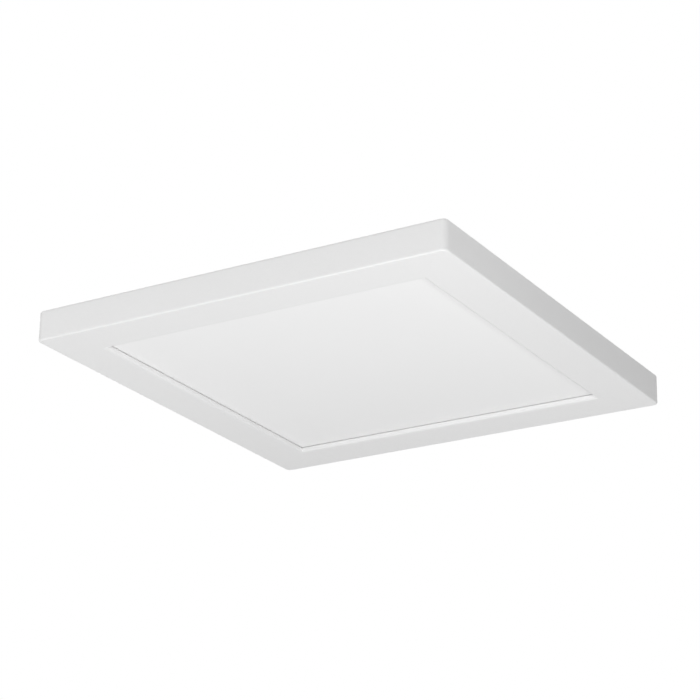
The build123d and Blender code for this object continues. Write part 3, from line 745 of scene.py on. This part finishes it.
def led_tree():
    """LED packages: a white cup, open towards the light guide, filled with phosphor gel."""
    tree, given = plant("led_package", ("Depth", "Length", "Height", "Facing"))
    body = add(tree, "GeometryNodeMeshCube", {"Size": (1.0, 1.0, 1.0)}).outputs[0]
    front = faces(tree, (1.0, 0.0, 0.0), 1.0)
    cup = stepped(tree, body, front, [(0.0, 0.84), (-0.55, 0.9)])
    # The gel fills the cup to just below its edge
    filling = add(tree, "GeometryNodeMeshCube", {"Size": (0.45, 0.76, 0.76)}).outputs[0]
    gel = add(
        tree, "GeometryNodeTransform", {"Geometry": filling, "Translation": (0.2, 0.0, 0.0)}
    ).outputs[0]
    size = [given[name] for name in ("Depth", "Length", "Height")]
    hand_out(tree, given, (sized(tree, cup, *size), led_cup), (sized(tree, gel, *size), gel_yellow))
    return tree


def chip_leg_tree():
    """Gull-wing legs: flat strips that leave the chip's side and bend down to the board."""
    tree, given = plant("chip_leg", ("Reach", "Drop", "Width", "Thickness", "Facing"))
    strip = add(
        tree,
        "GeometryNodeCurvePrimitiveQuadrilateral",
        {"Width": given["Thickness"], "Height": given["Width"]},
    ).outputs[0]
    leg = bent_strand(tree, given, strip, (0.5, 0.0, 1.0), (0.5, 0.0, 0.0), steps=8)
    hand_out(tree, given, (leg, zinc))
    return tree


def solder_tree():
    """Solder: low bright domes that wet the board round a tail."""
    tree, given = plant("solder_joint", ("Width", "Height"))
    crown = [(0.25, 0.93), (0.25, 0.82), (0.2, 0.66), (0.15, 0.4)]
    dome = sized(tree, turned_head(tree, 24, crown), given["Width"], given["Width"], given["Height"])
    hand_out(tree, given, (dome, zinc))
    return tree


def capacitor_tree():
    """Capacitors lying down: a sleeve, crimped near the wires, with the bare can's end in its rim."""
    tree, given = plant("lying_capacitor", ("Length", "Diameter"))
    groove = 0.88
    crown = [(0.03, groove), (0.03, 1 / groove), (0.76, 1.0), (0.03, 0.92)]
    rim = [(0.0, 0.86), (-0.02, 1.0)]
    sleeve = turned_head(tree, 32, crown, rim)
    disc = add(tree, "GeometryNodeMeshCylinder", {"Vertices": 32, "Radius": 0.38, "Depth": 0.01})
    end = add(
        tree,
        "GeometryNodeTransform",
        {"Geometry": disc.outputs["Mesh"], "Translation": (0.0, 0.0, 0.985)},
    ).outputs[0]
    size = [given[name] for name in ("Length", "Diameter", "Diameter")]
    shapes = []
    for shape, material in ((sleeve, shrunk_sleeve), (end, drawn_aluminium())):
        lying = add(
            tree,
            "GeometryNodeTransform",
            {"Geometry": shape, "Translation": (0.5, 0.0, 0.0), "Rotation": (0.0, -pi / 2, 0.0)},
        ).outputs[0]
        shapes.append((sized(tree, lying, *size), material))
    hand_out(tree, given, *shapes)
    return tree


def wire_tree():
    """Round wires that leave a capacitor's end and bend down to the board."""
    tree, given = plant("bent_wire", ("Reach", "Drop", "Radius"))
    ring = add(
        tree, "GeometryNodeCurvePrimitiveCircle", {"Resolution": 10, "Radius": given["Radius"]}
    ).outputs[0]
    wire = bent_strand(tree, given, ring, (0.8, 0.0, 1.0), (1.0, 0.0, 0.8), steps=12)
    hand_out(tree, given, (wire, zinc))
    return tree


def choke_tree():
    """Drum chokes: a ferrite bobbin, with enamelled wire wound in layers between its flanges."""
    tree, given = plant("drum_choke", ("Diameter", "Height", "Turns", "Wire Radius"))
    core = 0.7
    flange = 0.19
    crown = [(0.0, core), (1.0 - 2 * flange, 1.0), (0.0, 1 / core), (flange, 1.0)]
    bobbin = turned_head(tree, 40, crown)
    inner = add(tree, "GeometryNodeMeshCylinder", {"Vertices": 40, "Radius": 0.43, "Depth": 0.6})
    layers = add(
        tree,
        "GeometryNodeTransform",
        {"Geometry": inner.outputs["Mesh"], "Translation": (0.0, 0.0, 0.5)},
    ).outputs[0]
    helix = add(
        tree,
        "GeometryNodeCurveSpiral",
        {
            "Resolution": 24,
            "Rotations": given["Turns"],
            "Start Radius": 0.44,
            "End Radius": 0.44,
            "Height": 0.52,
        },
    ).outputs[0]
    raised = add(
        tree, "GeometryNodeTransform", {"Geometry": helix, "Translation": (0.0, 0.0, 0.24)}
    ).outputs[0]
    size = [given[name] for name in ("Diameter", "Diameter", "Height")]
    path = sized(tree, raised, *size)
    ring = add(
        tree, "GeometryNodeCurvePrimitiveCircle", {"Resolution": 6, "Radius": given["Wire Radius"]}
    ).outputs[0]
    turns = add(
        tree, "GeometryNodeCurveToMesh", {"Curve": path, "Profile Curve": ring, "Fill Caps": True}
    ).outputs[0]
    winding = add(tree, "GeometryNodeJoinGeometry", {0: [turns, sized(tree, layers, *size)]}).outputs[0]
    hand_out(tree, given, (sized(tree, bobbin, *size), ferrite), (winding, enamelled_copper()))
    return tree


def grow(name, tree, spots, sizes, slot, *nodes):
    """Runs a tree on its spots and keeps the result as a plain mesh that rides on the luminaire."""
    seeds = bpy.data.meshes.new(name + "_spots")
    seeds.from_pydata(spots, [], [])
    piece = bpy.data.objects.new(name, seeds)
    bpy.context.collection.objects.link(piece)
    modifier = piece.modifiers.new(name, "NODES")
    modifier.node_group = tree
    for socket in tree.interface.items_tree:
        if socket.name in sizes:
            modifier[socket.identifier] = sizes[socket.name]
    bpy.context.view_layer.update()
    graph = bpy.context.evaluated_depsgraph_get()
    mesh = bpy.data.meshes.new_from_object(piece.evaluated_get(graph), depsgraph=graph)
    mesh.name = name
    # A tree's shapes bring an empty material slot, which no face wears
    while None in mesh.materials[:]:
        mesh.materials.pop(index=mesh.materials[:].index(None))
    piece.modifiers.clear()
    piece.data = mesh
    mesh.set_sharp_from_angle(angle=SHARP_EDGE)
    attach(piece, "luminaire")
    if nodes:
        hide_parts(*nodes)


def stand_fasteners(name, tree, node, head_height, sizes):
    """Sets fasteners where a CAD piece has its plain ones, as long and with heads as wide as those."""
    boxes = solids(node)
    low, high = boxes[0]
    spots = [(middle(box).x, middle(box).y, box[1].z - head_height * MM) for box in boxes]
    given = {size: value * MM for size, value in sizes.items()}
    given["Head Diameter"] = high.x - low.x
    given["Head Height"] = head_height * MM
    given["Shank Length"] = high.z - low.z - head_height * MM
    grow(name, tree, spots, given, "plated_steel", node)


gel_yellow = phosphor_gel()
screw_tree = pan_screw_tree()
screw_sizes = {
    "Shank Diameter": SCREW_SHANK,
    "Recess Width": RECESS_WIDTH,
    "Recess Arm": RECESS_ARM,
    "Recess Depth": RECESS_DEPTH,
}
stand_fasteners("pan_head_screws", screw_tree, "back_plate_screws", SCREW_HEAD_HEIGHT, screw_sizes)
stand_fasteners("driver_pan_head_screws", screw_tree, "driver_screws", SCREW_HEAD_HEIGHT, screw_sizes)
rivet_sizes = {"Shank Diameter": RIVET_SHANK}
stand_fasteners("blind_rivets", blind_rivet_tree(), "hanger_rivets", RIVET_HEAD_HEIGHT, rivet_sizes)

package_tree = led_tree()
for hand, facing in (("left", 0.0), ("right", pi)):
    packages = solids(f"{hand}_leds")
    package = packages[0][1] - packages[0][0]
    grow(
        f"{hand}_led_packages",
        package_tree,
        [middle(box) for box in packages],
        {"Depth": package.x, "Length": package.y, "Height": package.z, "Facing": facing},
        "led_package",
        f"{hand}_leds",
    )

leg_tree = chip_leg_tree()
chips = solids("driver_chips")
board_top = chips[0][0].z
for side, edge, facing in (("front", 0, -pi / 2), ("back", 1, pi / 2)):
    spots = [
        (middle(box).x + (i - (LEGS_PER_SIDE - 1) / 2) * LEG_PITCH * MM, box[edge].y, box[0].z)
        for box in chips
        for i in range(LEGS_PER_SIDE)
    ]
    leg_sizes = {
        "Reach": LEG_REACH * MM,
        "Drop": (chips[0][1].z - board_top) / 2,
        "Width": LEG_WIDTH * MM,
        "Thickness": LEG_THICKNESS * MM,
        "Facing": facing,
    }
    grow(f"{side}_chip_legs", leg_tree, spots, leg_sizes, "plated_steel")

dome_tree = solder_tree()
clamps = solids("terminal_clamps")
tails = [(middle(box).x, box[1].y - SOLDER_WIDTH / 2 * MM, box[0].z) for box in clamps]
solder_sizes = {"Width": SOLDER_WIDTH * MM, "Height": SOLDER_HEIGHT * MM}
grow("clamp_solder", dome_tree, tails, solder_sizes, "plated_steel")

capacitors = solids("driver_capacitors")
can = capacitors[0][1] - capacitors[0][0]
grow(
    "sleeved_capacitors",
    capacitor_tree(),
    [middle(box) for box in capacitors],
    {"Length": can.x, "Diameter": can.y},
    "capacitor_sleeve",
    "driver_capacitors",
)
wire_starts = [
    (box[1].x, middle(box).y + side * WIRE_SPACING / 2 * MM, board_top)
    for box in capacitors
    for side in (-1, 1)
]
wire_sizes = {
    "Reach": WIRE_REACH * MM,
    "Drop": middle(capacitors[0]).z - board_top,
    "Radius": WIRE_RADIUS * MM,
}
grow("capacitor_wires", wire_tree(), wire_starts, wire_sizes, "plated_steel")
wire_feet = [(x + WIRE_REACH * MM, y, z) for x, y, z in wire_starts]
wire_solder_sizes = {"Width": WIRE_SOLDER_WIDTH * MM, "Height": SOLDER_HEIGHT * MM}
grow("wire_solder", dome_tree, wire_feet, wire_solder_sizes, "plated_steel")

drum_low, drum_high = solids("driver_choke")[0]
choke_sizes = {
    "Diameter": drum_high.x - drum_low.x,
    "Height": drum_high.z - drum_low.z,
    "Turns": COIL_TURNS,
    "Wire Radius": COIL_WIRE_RADIUS * MM,
}
drum_foot = ((drum_low.x + drum_high.x) / 2, (drum_low.y + drum_high.y) / 2, drum_low.z)
grow("wound_choke", choke_tree(), [drum_foot], choke_sizes, "ferrite", "driver_choke")


def pale_paint():
    """Pale floor paint: nearly white and matt, with a broad faint unevenness."""
    material, tree, place = begin("pale_floor_paint")
    tone = clouded(tree, place, size=400.0, dark="#EEEEEE", pale="#F3F3F3")
    relief, gloss = grained(tree, place, size=20.0, smooth=0.85, rough=0.95)
    finish(tree, tone, gloss, relief, strength=0.05, depth=0.1, IOR=1.45)
    return material


def floor(name, size, drop, material, only_seen=False):
    """A square of floor below the light; one that only the camera sees doesn't change the light."""
    mesh = bpy.data.meshes.new(name)
    half = size / 2
    corners = [(x * half, y * half, -drop) for x, y in ((-1, -1), (1, -1), (1, 1), (-1, 1))]
    mesh.from_pydata(corners, [], [(0, 1, 2, 3)])
    mesh.materials.append(material)
    piece = bpy.data.objects.new(name, mesh)
    for rays in ("diffuse", "glossy", "transmission", "shadow"):
        setattr(piece, f"visible_{rays}", not only_seen)
    bpy.context.collection.objects.link(piece)


def surroundings():
    """A white room: white where it is seen or mirrored, and a soft light from above."""
    world = bpy.data.worlds.new("white_room")
    world.use_nodes = True
    tree = world.node_tree
    tree.nodes.clear()
    path = add(tree, "ShaderNodeLightPath")
    seen = add(
        tree,
        "ShaderNodeMath",
        {0: path.outputs["Is Camera Ray"], 1: path.outputs["Is Glossy Ray"]},
        operation="MAXIMUM",
    )
    shown = add(
        tree,
        "ShaderNodeMath",
        {0: seen.outputs[0], 1: path.outputs["Is Transmission Ray"]},
        operation="MAXIMUM",
    )
    direction = add(tree, "ShaderNodeTexCoord").outputs["Generated"]
    height = add(tree, "ShaderNodeSeparateXYZ", {0: direction}).outputs["Z"]
    above = add(tree, "ShaderNodeMath", {0: height, 1: 0.0}, operation="MAXIMUM").outputs[0]
    fading = add(tree, "ShaderNodeMath", {0: above, 1: ROOM_FADE}, operation="POWER").outputs[0]
    light = add(tree, "ShaderNodeMath", {0: fading, 1: ROOM_LIGHT}, operation="MULTIPLY").outputs[0]
    level = add(
        tree, "ShaderNodeMapRange", {"Value": shown.outputs[0], "To Min": light, "To Max": ROOM_WHITE}
    )
    background = add(
        tree, "ShaderNodeBackground", {"Color": linear("#FFFFFF"), "Strength": level.outputs[0]}
    )
    add(tree, "ShaderNodeOutputWorld", {"Surface": background.outputs[0]})
    bpy.context.scene.world = world


def softbox(name, position, size, watts, mirrored=True):
    """A square soft lamp that faces the light's middle; one that isn't mirrored leaves no glare."""
    lamp = bpy.data.lights.new(name, "AREA")
    lamp.size = size
    lamp.energy = watts
    piece = bpy.data.objects.new(name, lamp)
    piece.location = position
    piece.rotation_euler = (-Vector(position)).to_track_quat("-Z", "Y").to_euler()
    piece.visible_glossy = mirrored
    bpy.context.collection.objects.link(piece)


def camera():
    """The photograph's camera: below the ceiling, looking up at the light."""
    side = cad_box[1][0] - cad_box[0][0]
    face = Vector((0.0, 0.0, cad_box[0][2]))
    # The picture's right, down and forward, as axes of the room, for a camera that looks along Y
    level = Matrix(((1, 0, 0), (0, 0, -1), (0, 1, 0)))
    turn = (
        Matrix.Rotation(VIEW_ROLL, 3, "Z")
        @ level
        @ Matrix.Rotation(-VIEW_PITCH, 3, "X")
        @ Matrix.Rotation(VIEW_YAW, 3, "Z")
    )
    lens = bpy.data.cameras.new("photo_camera")
    lens.sensor_width = SENSOR_WIDTH
    lens.lens = FOCAL_LENGTH_PIXELS / PICTURE_SIZE * SENSOR_WIDTH
    lens.clip_start = NEAREST_SEEN
    piece = bpy.data.objects.new("photo_camera", lens)
    right, down, forward = turn
    spot = face - turn.transposed() @ (VIEW_OFFSET * side)
    axes = Matrix((right, -down, -forward)).transposed()
    piece.matrix_world = Matrix.Translation(spot) @ axes.to_4x4()
    bpy.context.collection.objects.link(piece)
    bpy.context.scene.camera = piece


floor_paint = pale_paint()
floor("floor", FLOOR_SIZE, FLOOR_DROP, floor_paint)
floor("far_floor", FAR_FLOOR_SIZE, FAR_FLOOR_DROP, floor_paint, only_seen=True)
surroundings()
softbox("front_softbox", position=(-0.7, -1.1, 0.1), size=0.6, watts=3.8)
softbox("right_softbox", position=(0.8, -0.6, -0.4), size=0.4, watts=4.0, mirrored=False)
softbox("under_softbox", position=(0.0, -0.6, -0.9), size=0.8, watts=4.0, mirrored=False)
softbox("top_softbox", position=(0.0, 0.0, 1.5), size=1.0, watts=3.0)
camera()
bpy.context.scene.view_settings.view_transform = "Standard"
